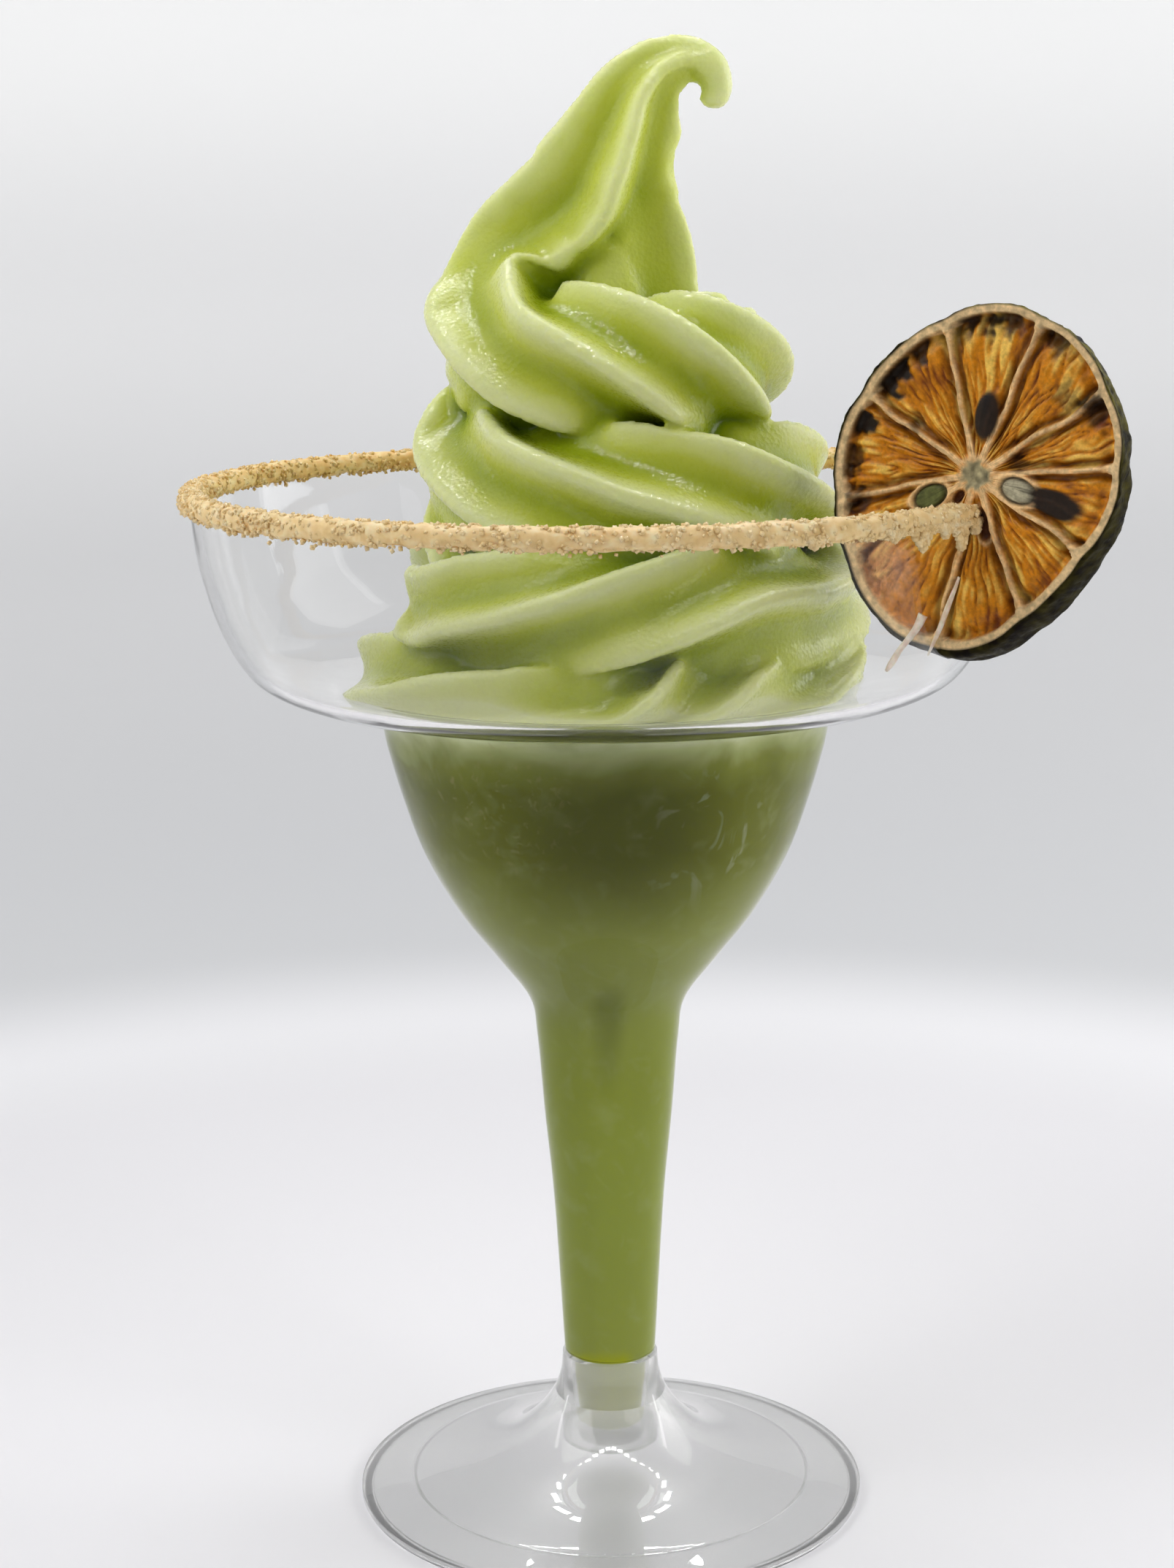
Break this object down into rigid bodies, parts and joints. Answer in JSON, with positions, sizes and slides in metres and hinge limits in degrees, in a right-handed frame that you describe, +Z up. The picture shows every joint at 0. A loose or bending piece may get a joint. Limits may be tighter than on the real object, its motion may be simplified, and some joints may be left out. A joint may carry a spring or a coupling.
{
  "type": "frozen margarita",
  "caption": "Frozen margarita: a pale green soft-serve swirl with a hooked tip in a clear plastic margarita glass with a sugared rim and a dried lime slice.",
  "frame": {"origin": "on the table, on the axis of the glass, which is the middle of the object's footprint", "axes": "+Z up along the axis of the glass. The lime slice stands midway between +X and -Y, and the picture looks at the drink from 12 degrees to the left of -Y."},
  "size_m": [0.1185, 0.1186, 0.2073],
  "materials": {
    "glass_bowl": "clear polished plastic",
    "glass_foot": "clear polished plastic",
    "drink_fill": "smooth frozen drink behind plastic",
    "swirl": "moist, finely frosted",
    "sugar_rim": "coarse moist sugar",
    "lime_slice": "dried fruit"
  },
  "bodies": {
    "root": {"glass_bowl": "glass_bowl", "glass_foot": "glass_foot", "drink_fill": "drink_fill", "swirl": "swirl", "sugar_rim": "sugar_rim", "lime_slice": "lime_slice"}
  },
  "joints": []
}
